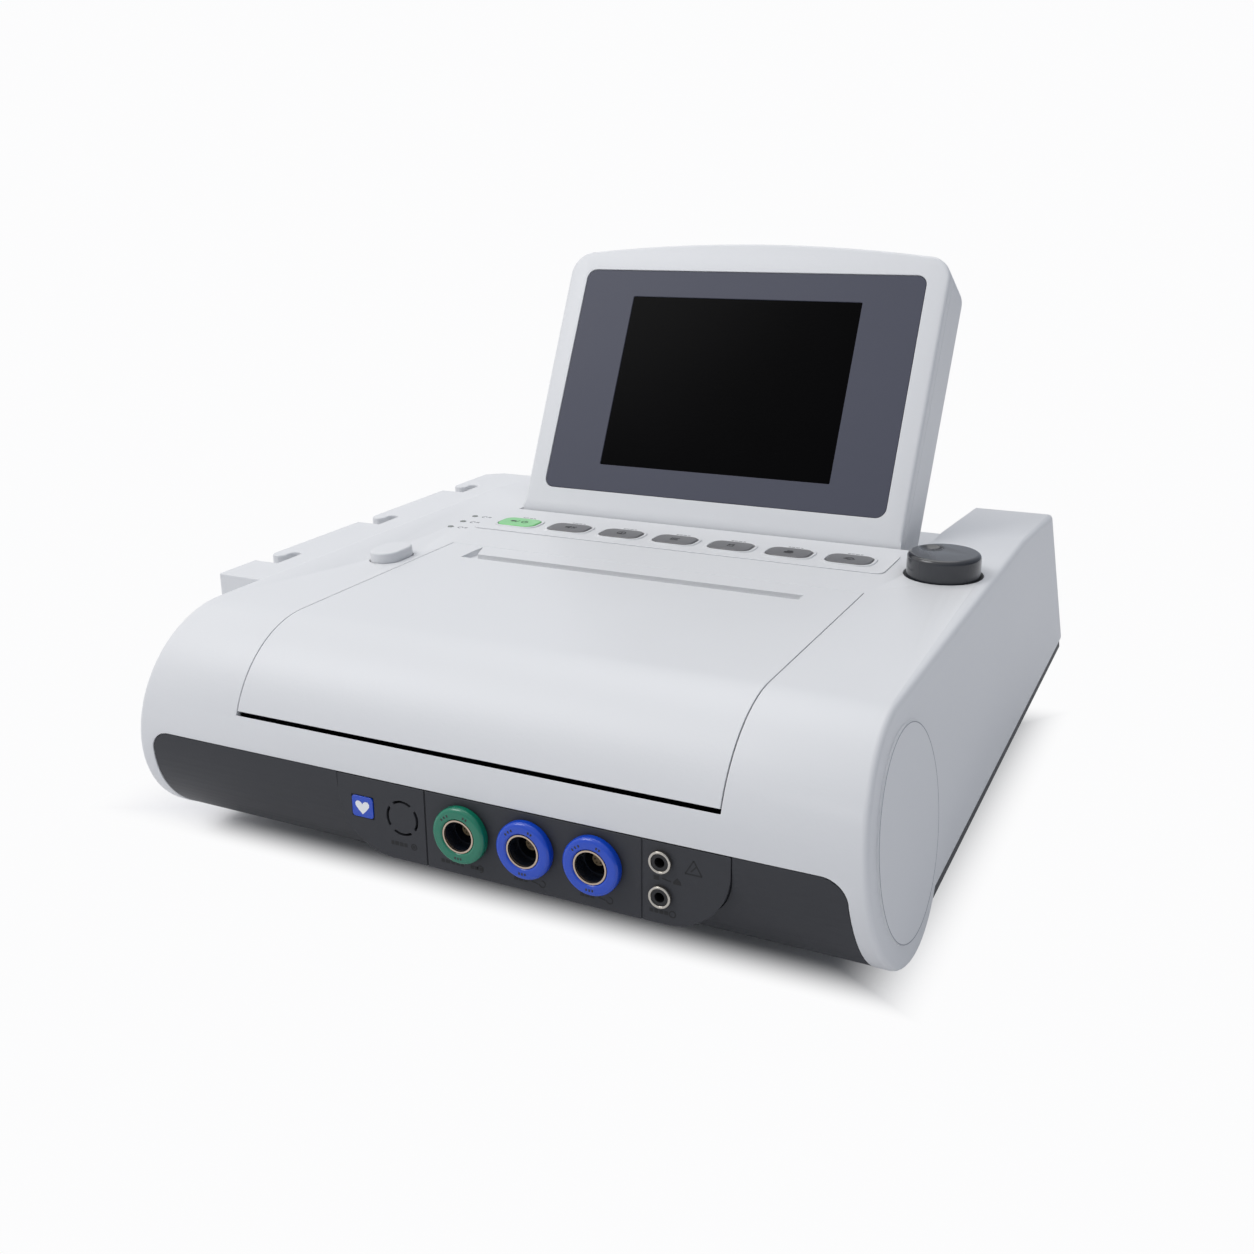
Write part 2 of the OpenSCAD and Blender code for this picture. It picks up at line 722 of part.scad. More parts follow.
module key_start() key(0, [0.52, 0.84, 0.52]);
module key_1() key(1, [0.47, 0.47, 0.48]);
module key_2() key(2, [0.47, 0.47, 0.48]);
module key_3() key(3, [0.47, 0.47, 0.48]);
module key_4() key(4, [0.47, 0.47, 0.48]);
module key_5() key(5, [0.47, 0.47, 0.48]);
module key_6() key(6, [0.47, 0.47, 0.48]);

module key_board()
    color(board_green) on_deck(screen_x, key_y) {
        top = -key_post - strip_t;
        block(strip_w + 4, strip_d - 8, top - board_t, top);
        for (i = [-3:3]) translate([i * key_pitch, 0, top - 0.1])
            cylinder(h = 0.1 - top - stem_low - key_travel - switch_clear, r = 2.8);
    }

module led_windows()
    color([0.75, 0.80, 0.75]) for (y = led_y) on_deck(led_x, y) {
        translate([0, 0, -6]) cylinder(h = 6.2, r = led_r);
        translate([0, 0, -wall - 1.4]) cylinder(h = 1.3, r = led_r + 1);
    }

module knob_cap()
    color([0.20, 0.21, 0.24]) on_deck(knob_x, knob_y) difference() {
        rotate_extrude($fn = 96) {
            translate([0, -knob_low]) square([knob_r, knob_low + knob_h - 2]);
            translate([0, -knob_low]) square([knob_r - 2, knob_low + knob_h]);
            translate([knob_r - 2, knob_h - 2]) intersection() {
                circle(r = 2);
                square(3);
            }
        }
        translate([-knob_r * 0.42, knob_r * 0.3, knob_h + 7.4]) sphere(r = 9);
        translate([0, 0, -knob_low - 1]) cylinder(h = knob_low + 7, r = spindle_r + running);
        translate([0, 0, -knob_low - 1]) difference() {
            cylinder(h = knob_h, r = knob_r - 2);
            cylinder(h = knob_h, r = spindle_r + 2.2);
        }
    }

module knob_shaft()
    color(steel) on_deck(knob_x, knob_y)
        translate([0, 0, -well_deep - 9]) cylinder(h = well_deep + 14, r = spindle_r);

module encoder_plunger()
    color([0.15, 0.15, 0.16]) on_deck(knob_x, knob_y)
        translate([0, 0, -well_deep - 12]) cylinder(h = 2.9, r = 1.2);

module encoder_body()
    color([0.20, 0.22, 0.30]) on_deck(knob_x, knob_y) {
        difference() {
            union() {
                translate([0, 0, -well_deep - cup_wall - 0.05]) mirror([0, 0, 1]) block(14, 14, 0, 12);
                translate([0, 0, -well_deep - 3]) cylinder(h = 3.6, r = bush_r);
            }
            translate([0, 0, -well_deep - 9 - knob_travel - 0.2]) cylinder(h = 20, r = spindle_r + running);
            translate([0, 0, -well_deep - 20]) cylinder(h = 20, r = 1.2 + running);
        }
    }

module release_button()
    color(case_white) on_deck(release_x, release_y) {
        translate([0, 0, -release_deep + release_low])
            linear_extrude(height = release_deep - release_low + release_up) release_outline(0);
        difference() {
            block(stem_w, stem_w, -latch_drop - latch_t - 1, -release_deep + release_low + 1);
            translate([-stem_w / 2, -stem_w, -latch_drop + 1]) rotate([0, -45, 0]) translate([-20, 0, -20])
                cube([20, 2 * stem_w, 40]);
        }
    }

// Coil of round wire about Z, as rings of eight corners along a helix
module coil(r, wire, h, turns) {
    n = turns * 20;
    function corner(i, k) = let (a = 360 * i / 20, q = 45 * k, rr = r + wire * cos(q))
        [rr * cos(a), rr * sin(a), wire + (h - 2 * wire) * i / n + wire * sin(q)];
    polyhedron(
        points = [for (i = [0:n], k = [0:7]) corner(i, k)],
        faces = concat(
            [for (i = [0:n - 1], k = [0:7]) [i * 8 + k, i * 8 + (k + 1) % 8, (i + 1) * 8 + (k + 1) % 8, (i + 1) * 8 + k]],
            [[for (k = [7:-1:0]) k], [for (k = [0:7]) n * 8 + k]]));
}

module release_spring()
    color(steel) on_deck(release_x, release_y)
        translate([0, 0, -release_deep + 0.05]) coil(5.8, 0.3, release_low - 0.1, 3);

module door_latch()
    color([0.20, 0.20, 0.22]) on_deck(release_x, release_y) difference() {
        x1 = -release_x - bay_x + 3.9;
        translate([-7.5, -latch_w / 2, -latch_drop - latch_t]) cube([7.5 + x1, latch_w, latch_t]);
        difference() {
            translate([-stem_w / 2 - 2.5, -stem_w / 2 - button_gap / 2, -latch_drop - latch_t - 1])
                cube([stem_w + release_travel + 3, stem_w + button_gap, latch_t + 2]);
            translate([-stem_w / 2 - button_gap, -latch_w, -latch_drop + 1]) rotate([0, -45, 0])
                translate([-20, 0, -20]) cube([20, 2 * latch_w, 40]);
        }
    }

// ---- shelf ----

module transducer_shelf()
    color(case_white) difference() {
        y0 = front_y + 83.5;
        y1 = rear_y - 33;
        x0 = -deck_w / 2 - shelf_w;
        intersection() {
            translate([mid_x, 0, 0]) linear_extrude(height = 200) difference() {
                translate([x0, y0]) square([60, y1 - y0]);
                // Chamfer of the rear corner and the three hook slots
                polygon([[x0 - 1, y1 - 8], [x0 + 10, y1 + 1], [x0 - 1, y1 + 1]]);
                for (i = [-1:1]) translate([x0, (y0 + y1) / 2 + 12 + i * hook_pitch]) {
                    translate([-1, -26]) square([14, 10]);
                    translate([7.5, -16.1]) square([5.5, 6]);
                    translate([10.25, -10.1]) circle(r = 2.75);
                    translate([3.75, -16.1]) difference() {
                        translate([-5, 0]) square([9, 3.75]);
                        translate([0, 3.75]) circle(r = 3.75);
                    }
                }
            }
            along_x(4 * deck_w) polygon([[y0, deck(y0) - shelf_drop - shelf_t], [y0, deck(y0) - shelf_drop],
                [y1, deck(y1) - shelf_drop], [y1, deck(y1) - shelf_drop - shelf_t]]);
        }
        between_sides(0);
    }

// ---- back ----

module rear_panel()
    color([0.55, 0.56, 0.58]) on_back(rear_panel_x, panel_up) difference() {
        union() {
            plate_y(panel_w, panel_h, 3, -wall - 0.9, wall + 0.9);
            plate_y(panel_w + 8, panel_h + 4, 3, -wall - 2.8, 2);
        }
        translate([inlet_x, 0, 0]) plate_y(27.4, 20.4, 2, -10, 20);
        translate([switch_x, 0, 0]) cube([19, 20, 15], center = true);
        translate([-64, 0, 0]) rotate([90, 0, 0]) cylinder(h = 20, r = 3.1, center = true);
    }

module mains_inlet()
    color([0.10, 0.10, 0.11]) on_back(rear_panel_x + inlet_x, panel_up) {
        difference() {
            union() {
                plate_y(27, 20, 2, -22, 22.1);
                plate_y(31, 24, 2, 0.05, 1.5);
            }
            plate_y(24, 16.5, 2.5, -17, 30);
        }
        for (x = [-7, 0, 7]) translate([x, -10, x == 0 ? 2.5 : -1.5]) cube([4, 15, 2], center = true);
    }

module power_rocker()
    color([0.10, 0.10, 0.11]) on_back(rear_panel_x + switch_x, panel_up) translate([0, -4, 0])
        rotate([-10, 0, 0]) difference() {
            rotate([0, 90, 0]) cylinder(h = 18.4, r = rocker_r, center = true);
            for (s = [-1, 1]) rotate([s * 10, 0, 0]) translate([-20, 5.2, s > 0 ? 0 : -20]) cube([40, 10, 20]);
            translate([-20, -20, -20]) cube([40, 18, 40]);
        }

module earth_stud()
    color([0.80, 0.65, 0.30]) on_back(rear_panel_x - 64, panel_up) rotate([-90, 0, 0])
        translate([0, 0, -10]) {
            cylinder(h = 14, r = 3);
            translate([0, 0, 10.05]) cylinder(h = 1.6, r = 4.6);
        }

// ---- screen ----

// Front outline of the screen, drawn in by g
module screen_outline(g) {
    top = screen_len - crown - corner_r;
    r = corner_r - g;
    function half(z) = (screen_w + (screen_top_w - screen_w) * max(z, 0) / screen_len) / 2 - g;
    x = half(top) - r;
    polygon([[-half(0), g - half_t - 1], [half(0), g - half_t - 1], [half(0), 0], [half(top), top],
             [x, top + r * 0.5], [-x, top + r * 0.5], [-half(top), top], [-half(0), 0]]);
    for (s = [-1, 1]) translate([s * x, top]) circle(r = r);
    intersection() {
        translate([0, screen_len - g - crown_r]) circle(r = crown_r, $fn = 720);
        translate([-x, 0]) square([2 * x, screen_len]);
    }
}

module screen_solid(g)
    intersection() {
        translate([0, half_t + 1, 0]) rotate([90, 0, 0]) linear_extrude(height = screen_t + 2) screen_outline(g);
        rotate([90, 0, 90]) linear_extrude(height = 2 * screen_w, center = true) {
            circle(r = half_t - g, $fn = 96);
            translate([g - half_t, 0]) square([screen_t - 2 * g, screen_len + 10]);
        }
    }

module screen_front()
    color(case_white) on_screen() difference() {
        union() {
            difference() {
                screen_solid(0);
                screen_solid(wall);
                translate([-screen_w, split_y, -2 * half_t]) cube([2 * screen_w, screen_t, 2 * screen_len]);
            }
            for (s = [-1, 1], z = screen_boss_z) translate([s * screen_boss_x, split_y, z]) rotate([90, 0, 0])
                cylinder(h = bezel_t - wall / 2, r = 3.4);
        }
        translate([0, 0, mask_z]) {
            plate_y(mask_w + 2 * seat, mask_h + 2 * seat, mask_r, -half_t - 1, mask_set + mask_t + 1);
            plate_y(mask_w - 8, mask_h - 6, mask_r, -half_t - 1, 10);
        }
        for (s = [-1, 1], z = screen_boss_z) translate([s * screen_boss_x, split_y + 1, z]) rotate([90, 0, 0])
            cylinder(h = 5, r = screw_r + running);
    }

module screen_back()
    color(case_white) on_screen() difference() {
        union() {
            difference() {
                screen_solid(0);
                screen_solid(wall);
                translate([-screen_w, split_y - screen_t, -2 * half_t]) cube([2 * screen_w, screen_t, 2 * screen_len]);
            }
            for (s = [-1, 1], z = screen_boss_z) translate([s * screen_boss_x, half_t - wall / 2, z])
                rotate([90, 0, 0]) cylinder(h = half_t - wall / 2 - split_y - 0.05, r = 3.4);
            // Cheeks that hold the hinge pins
            for (b = [-1, 1], s = [-1, 1]) translate([b * bracket_x + s * (bracket_w / 2 + bracket_gap + 5), 0, 0]) {
                rotate([0, 90, 0]) cylinder(h = 10, r = 7, center = true);
                translate([-5, 0, -7]) cube([10, half_t - wall / 2, 14]);
            }
        }
        for (b = [-1, 1]) {
            translate([b * bracket_x, 0, 0]) {
                translate([-bracket_w / 2 - bracket_gap, -barrel_r - bracket_gap, -screen_t])
                    cube([bracket_w + 2 * bracket_gap, screen_t * 2, screen_t + barrel_r + bracket_gap]);
                rotate([0, 90, 0]) cylinder(h = bracket_w + 20.2 + 2 * bracket_gap, r = pin_r + 0.02, center = true);
            }
        }
        for (s = [-1, 1], z = screen_boss_z) translate([s * screen_boss_x, half_t, z]) rotate([90, 0, 0]) {
            translate([0, 0, -1]) cylinder(h = 4, r = 3);
            cylinder(h = screen_t, r = screw_r + running);
        }
        for (i = [-4:4]) translate([i * 9, half_t - wall / 2, screen_len * 0.62])
            cube([3, 2 * wall, 26], center = true);
    }

module screen_screws()
    color(steel) on_screen() for (s = [-1, 1], z = screen_boss_z)
        translate([s * screen_boss_x, half_t - 3, z]) rotate([90, 0, 0]) {
            translate([0, 0, -1.8]) cylinder(h = 1.8, r = 2.8);
            cylinder(h = half_t - split_y, r = screw_r);
        }

module screen_mask()
    color(slate) on_screen() translate([0, 0, mask_z]) difference() {
        plate_y(mask_w, mask_h, mask_r - seat, mask_set - half_t, mask_t);
        plate_y(glass_w + 0.2, glass_h + 0.2, 0.6, -half_t - 1, 10);
    }

module lcd_glass()
    color([0.03, 0.03, 0.04]) on_screen() translate([0, 0, mask_z])
        plate_y(glass_w, glass_h, 0.5, glass_set - half_t, mask_set + mask_t - glass_set + 0.05);

module lcd_module()
    color([0.60, 0.62, 0.64]) on_screen() translate([0, 0, mask_z])
        plate_y(glass_w + 13, glass_h + 11, 1, lcd_front, lcd_t);

module display_board()
    color(board_green) on_screen() translate([0, 0, mask_z]) {
        y = lcd_front + lcd_t + 2.2;
        plate_y(glass_w + 20, glass_h + 6, 2, y, board_t);
        for (s = [-1, 1], t = [-1, 1]) translate([s * 50, y + 0.1, t * 40]) rotate([90, 0, 0])
            cylinder(h = 2.2, r = 2.5);
        translate([20, y + board_t + 1.4, 10]) cube([24, 3, 24], center = true);
        translate([-30, y + board_t + 2.9, -20]) cube([34, 6, 12], center = true);
    }

module on_hinge_bracket(s)
    translate([mid_x + screen_x + s * bracket_x, axis_y, axis_z]) children();

module hinge_brackets()
    color([0.30, 0.31, 0.33]) for (s = [-1, 1]) on_hinge_bracket(s) difference() {
        union() {
            rotate([0, 90, 0]) cylinder(h = bracket_w, r = barrel_r, center = true);
            block(bracket_w, bracket_d, -half_t - recess_clear, 0);
        }
        rotate([0, 90, 0]) cylinder(h = bracket_w + 2, r = pin_r + running, center = true);
        translate([0, 0, -half_t - 2]) cylinder(h = 9, r = screw_r);
    }

module hinge_pins()
    color(steel) on_screen() for (b = [-1, 1]) translate([b * bracket_x, 0, 0]) rotate([0, 90, 0])
        cylinder(h = bracket_w + 20, r = pin_r, center = true);

// ---- door, tray and printer ----

module door_skin(t0, t1)
    intersection() {
        along_x(door_w) difference() {
            body_profile();
            // Inner face of the door
            union() {
                translate([nose_y, nose_z]) circle(r = nose_r - t1, $fn = 160);
                polygon([[nose_y, nose_top - t1], [crease_y, deck(crease_y) - t1], [crease_y, 0], [nose_y, 0]]);
            }
        }
        along_x(2 * deck_w) door_region(0, 0, 0);
    }

module paper_door()
    color(case_white) difference() {
        union() {
            door_skin(0, door_t);
            // Hinge lugs
            for (s = [-1, 1]) {
                bar_x(s * lug_x, hinge_y, hinge_z, lug_t, lug_r);
                intersection() {
                    along_x(lug_t, s * lug_x) polygon([[nose_y, nose_z], for (a = [hinge_ang - 5, hinge_ang + 5])
                        [nose_y - (nose_r + 5) * cos(a), nose_z + (nose_r + 5) * sin(a)]]);
                    along_x(2 * deck_w) nose_ring(nose_r - hinge_in, nose_r - door_t / 2, 0, 60);
                }
            }
            // Striker of the latch
            translate([mid_x - door_w / 2 + 3.4, release_y - 6, deck(release_y) - latch_drop - latch_t - 1])
                cube([2, 12, latch_drop + latch_t + 1 - door_t / 2]);
            // Bearing plates of the platen roller
            for (s = [-1, 1]) {
                bar_x(s * bearing_x, platen_y, platen_z, 3, 5);
                translate([mid_x + s * bearing_x - 1.5, platen_y - 5, platen_z]) cube([3, 10, platen_drop - door_t / 2]);
            }
            // Rib across the door
            translate([mid_x - door_w / 2 + 8, nose_y + 10, deck(nose_y + 10) - door_t - 2])
                cube([door_w - 16, 2, door_t]);
        }
        for (s = [-1, 1]) bar_x(s * bearing_x, platen_y, platen_z, 8, shaft_r + running);
        for (s = [-1, 1]) bar_x(s * lug_x, hinge_y, hinge_z, 12, hinge_r + running);
        // Slot with a sunk step behind it and a pointed scoop at its left end
        translate([mid_x, slot_y, deck(slot_y)]) {
            translate([-slot_w / 2, 0, -20]) cube([slot_w, slot_gap, 30]);
            translate([0, 0, -slot_deep]) linear_extrude(height = 8)
                polygon([[slot_w / 2, 0], [slot_w / 2, slot_gap + step_run], [-slot_w / 2, slot_gap + step_run],
                    [0.5 - scoop[0] - slot_w / 2, scoop[1]], [-scoop[0] - slot_w / 2, 0]]);
        }
    }

module door_hinge_pins()
    color(steel) for (s = [-1, 1]) bar_x(s * (lug_x + 3.4), hinge_y, hinge_z, lug_t + 6, hinge_r);

// Room that the release button's cup and the latch take beside the paper bay
module release_room()
    on_deck(release_x, release_y) {
        translate([0, 0, -release_deep - cup_wall - seat]) linear_extrude(height = 30)
            release_outline(button_gap + cup_wall + seat);
        translate([0, -latch_w / 2 - 0.5, -latch_drop - latch_t - 0.5]) cube([30, latch_w + 1, latch_t + 1]);
    }

module paper_tray()
    color([0.70, 0.71, 0.73]) difference() {
        front_up = sqrt(pow(nose_r - door_t - 0.6, 2) - pow(nose_y - tray_y0, 2)) - 0.2;
        r = nose_r - wall - 0.4;
        union() {
            translate([mid_x - bay_x - bay_wall, tray_y0, tray_z])
                cube([2 * (bay_x + bay_wall), tray_y1 - tray_y0, bay_wall]);
            translate([mid_x - bay_x - 0.1, tray_y0, tray_z])
                cube([2 * bay_x + 0.2, bay_wall, nose_z + front_up - tray_z]);
            translate([mid_x - bay_x - 0.1, tray_y1 - bay_wall, tray_z])
                cube([2 * bay_x + 0.2, bay_wall, deck(tray_y1) - 17 - tray_z]);
            // Side walls, whose front corners carry the hinge pins
            for (s = [-1, 1]) along_x(bay_wall, s * (bay_x + bay_wall / 2))
                polygon(concat([[tray_y1, tray_z], [tray_y0, tray_z], [hinge_y, hinge_z - lug_r - 1]],
                    [for (i = [0:8]) let (a = 24 + i * 8.25) [nose_y - r * cos(a), nose_z + r * sin(a)]],
                    [[tray_y1, deck(tray_y1) - wall - 0.4]]));
        }
        for (s = [-1, 1]) bar_x(s * (bay_x + 1), hinge_y, hinge_z, 8, hinge_r + running);
        release_room();
    }

module paper_pack()
    color([0.96, 0.95, 0.92]) translate([mid_x, (tray_y0 + tray_y1) / 2, tray_z + bay_wall])
        block(paper_w, tray_y1 - tray_y0 - 2 * bay_wall - 3, 0, 15);

module printer_chassis()
    color(steel) {
        y0 = tray_y1 + 0.4;
        y1 = door_rear - 1;
        z = deck(platen_y) - chassis_drop;
        difference() {
            union() {
                for (s = [-1, 1])
                    along_x(bay_wall, s * (bay_x + bay_wall / 2)) polygon([[y0, z], [y1, z], [y1, deck(y1) - wall - 0.05],
                        [y0, deck(y0) - wall - 0.05]]);
                translate([mid_x - bay_x - 0.1, y0, z]) cube([2 * bay_x + 0.2, y1 - y0, bay_wall]);
            }
            translate([mid_x + bay_x, platen_y, platen_z - gear_centres]) rotate([0, 90, 0])
                cylinder(h = 8, r = 4, center = true);
            release_room();
        }
    }

module print_head()
    color([0.35, 0.30, 0.28]) translate([mid_x, platen_y, platen_z - platen_r - 0.15]) {
        block(slot_w + 2, 12, -1.6, 0);
        block(slot_w + 2, 17, -(chassis_drop - platen_drop - platen_r - bay_wall) + 0.15, -1.5);
    }

module platen_roller()
    color([0.14, 0.14, 0.15]) difference() {
        bar_x(0, platen_y, platen_z, slot_w + 4, platen_r);
        bar_x(0, platen_y, platen_z, slot_w + 10, shaft_r - 0.5);
    }

module platen_gear()
    color([0.93, 0.92, 0.86]) {
        translate([mid_x + gear_x, platen_y, platen_z]) gear(gear_teeth, gear_t, 0);
        bar_x((gear_x - bearing_x) / 2 + 1, platen_y, platen_z, gear_x + bearing_x + 6, shaft_r - 0.5);
        for (s = [-1, 1]) bar_x(s * bearing_x, platen_y, platen_z, 4.4, shaft_r);
    }

module motor_pinion()
    color([0.80, 0.65, 0.30]) {
        translate([mid_x + gear_x, platen_y, platen_z - gear_centres]) gear(pinion_teeth, gear_t, 15);
        bar_x(gear_x + 5.5, platen_y, platen_z - gear_centres, 14, 1.2);
    }

module stepper_motor()
    color([0.45, 0.46, 0.48]) translate([mid_x + bay_x + bay_wall + 0.05, platen_y, platen_z - gear_centres])
        rotate([0, 90, 0]) difference() {
            cylinder(h = motor_len, r = motor_r);
            translate([0, 0, -1]) cylinder(h = 8, r = 1.2 + running);
        }

// ---- inside ----

module main_board()
    color(board_green) translate([mid_x + board_x, board_y, board_up]) {
        block(board_size[0], board_size[1], 0, board_t);
        for (i = [0:2]) translate([-30 + i * 28, -40, 0]) block(18, 18, board_t - 0.1, board_t + 2.4);
        for (i = [0:3]) translate([-42 + i * 26, 20, 0]) block(8, 26, board_t - 0.1, board_t + 8);
        translate([0, 62, 0]) block(70, 12, board_t - 0.1, board_t + 10);
    }

module power_supply()
    color([0.62, 0.63, 0.65]) translate([mid_x - 62, tub_y1 - 66, base_z + wall]) difference() {
        block(96, 84, 0, 36);
        for (i = [-4:4]) translate([i * 9, 0, 35]) cube([4, 60, 4], center = true);
    }

module battery_pack()
    color([0.15, 0.25, 0.42]) translate([mid_x + battery_x, battery_y, base_z + 1.65])
        block(battery[0], battery[1], 0, battery[2]);

module speaker()
    color([0.16, 0.16, 0.17]) translate([mid_x + battery_x, battery_y + battery[1] / 2 + 36, base_z + wall]) {
        cylinder(h = 4, r = 25);
        cylinder(h = 14, r1 = 22, r2 = 12);
        cylinder(h = 18, r = 12);
    }

upper_case();
lower_case();
front_band();
socket_plate();
key_strip();
rear_panel();
transducer_shelf();
battery_cover();
feet();
paper_door();
door_hinge_pins();
door_latch();
release_button();
release_spring();
key_start();
key_1();
key_2();
key_3();
key_4();
key_5();
key_6();
knob_cap();
knob_shaft();
encoder_body();
encoder_plunger();
screen_front();
screen_back();
screen_mask();
lcd_glass();
lcd_module();
display_board();
hinge_brackets();
hinge_pins();
screen_screws();
socket_ring_green();
socket_rings_blue();
socket_shells();
socket_cores();
socket_board();
jack_bodies();
jack_nuts();
emblem_plate();
led_windows();
key_board();
main_board();
power_supply();
printer_chassis();
print_head();
platen_roller();
platen_gear();
stepper_motor();
motor_pinion();
paper_tray();
paper_pack();
battery_pack();
speaker();
mains_inlet();
power_rocker();
case_screws();
earth_stud();
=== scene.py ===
import bpy
import bmesh
import json
import math
from mathutils import Matrix, Vector


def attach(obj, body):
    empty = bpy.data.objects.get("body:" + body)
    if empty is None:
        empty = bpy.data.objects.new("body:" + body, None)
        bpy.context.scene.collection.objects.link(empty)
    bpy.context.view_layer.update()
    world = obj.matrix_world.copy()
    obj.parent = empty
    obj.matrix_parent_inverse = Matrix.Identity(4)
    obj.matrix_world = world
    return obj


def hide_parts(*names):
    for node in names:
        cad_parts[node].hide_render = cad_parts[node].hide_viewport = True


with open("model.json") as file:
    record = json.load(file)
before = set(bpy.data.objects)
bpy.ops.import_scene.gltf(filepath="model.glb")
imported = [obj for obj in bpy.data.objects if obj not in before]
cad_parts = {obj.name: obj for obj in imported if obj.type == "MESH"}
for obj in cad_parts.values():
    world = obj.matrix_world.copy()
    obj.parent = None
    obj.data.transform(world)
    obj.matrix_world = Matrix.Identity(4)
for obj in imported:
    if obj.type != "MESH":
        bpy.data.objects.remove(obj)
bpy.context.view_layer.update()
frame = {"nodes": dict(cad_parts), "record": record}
NODES = frame["nodes"]
BODY = {n: b for b, ns in frame["record"]["behaviour"]["bodies"].items() for n in ns}
SLOT = {s["node"]: s["material_slot"] for s in frame["record"]["subparts"]}
MM = 0.001

# Places of the part, in millimetres
MID_X, SCREEN_X = 12.36636, -4.0
FRONT_Y, NOSE_Y, NOSE_Z, NOSE_R = -171.5, -126.5, 55.0, 45.0
SCREEN_Y, RISE = 50.5, 0.022
AXIS_Y, AXIS_Z, LEAN = 66.71013, 101.64804, 26.6


def deck(y):
    return 100 + RISE * (y - NOSE_Y)


# ---------------------------------------------------------------- materials

def lin(c):
    c = c / 255
    return c / 12.92 if c <= 0.04045 else ((c + 0.055) / 1.055) ** 2.4


def rgb(h):
    return tuple(lin(int(h[i:i + 2], 16)) for i in (0, 2, 4)) + (1.0,)


def finish_of(name, colour, rough=0.45, metal=0.0, grain=0.0, grain_size=900, tint=0.05, coat=0.0, ior=1.5, spread=0.06):
    """A surface whose colour and roughness vary a little over it, with a fine grain in relief."""
    m = bpy.data.materials.new(name)
    m.use_nodes = True
    nt = m.node_tree
    bsdf = nt.nodes["Principled BSDF"]
    base = rgb(colour)
    co = nt.nodes.new("ShaderNodeTexCoord")
    wide = nt.nodes.new("ShaderNodeTexNoise")
    wide.inputs["Scale"].default_value = 14
    wide.inputs["Detail"].default_value = 3
    nt.links.new(co.outputs["Object"], wide.inputs["Vector"])
    mix = nt.nodes.new("ShaderNodeMix")
    mix.data_type = "RGBA"
    mix.inputs["A"].default_value = tuple(v * (1 - tint) for v in base[:3]) + (1,)
    mix.inputs["B"].default_value = tuple(min(1, v * (1 + tint)) for v in base[:3]) + (1,)
    nt.links.new(wide.outputs["Fac"], mix.inputs["Factor"])
    nt.links.new(mix.outputs["Result"], bsdf.inputs["Base Color"])
    rr = nt.nodes.new("ShaderNodeMapRange")
    rr.inputs["To Min"].default_value = max(0.02, rough - spread)
    rr.inputs["To Max"].default_value = rough + spread
    nt.links.new(wide.outputs["Fac"], rr.inputs["Value"])
    nt.links.new(rr.outputs["Result"], bsdf.inputs["Roughness"])
    bsdf.inputs["Metallic"].default_value = metal
    bsdf.inputs["IOR"].default_value = ior
    bsdf.inputs["Coat Weight"].default_value = coat
    bsdf.inputs["Coat Roughness"].default_value = 0.12
    if grain:
        fine = nt.nodes.new("ShaderNodeTexNoise")
        fine.inputs["Scale"].default_value = grain_size
        fine.inputs["Detail"].default_value = 2
        nt.links.new(co.outputs["Object"], fine.inputs["Vector"])
        bump = nt.nodes.new("ShaderNodeBump")
        bump.inputs["Strength"].default_value = grain
        bump.inputs["Distance"].default_value = 0.0002
        nt.links.new(fine.outputs["Fac"], bump.inputs["Height"])
        nt.links.new(bump.outputs["Normal"], bsdf.inputs["Normal"])
    return m


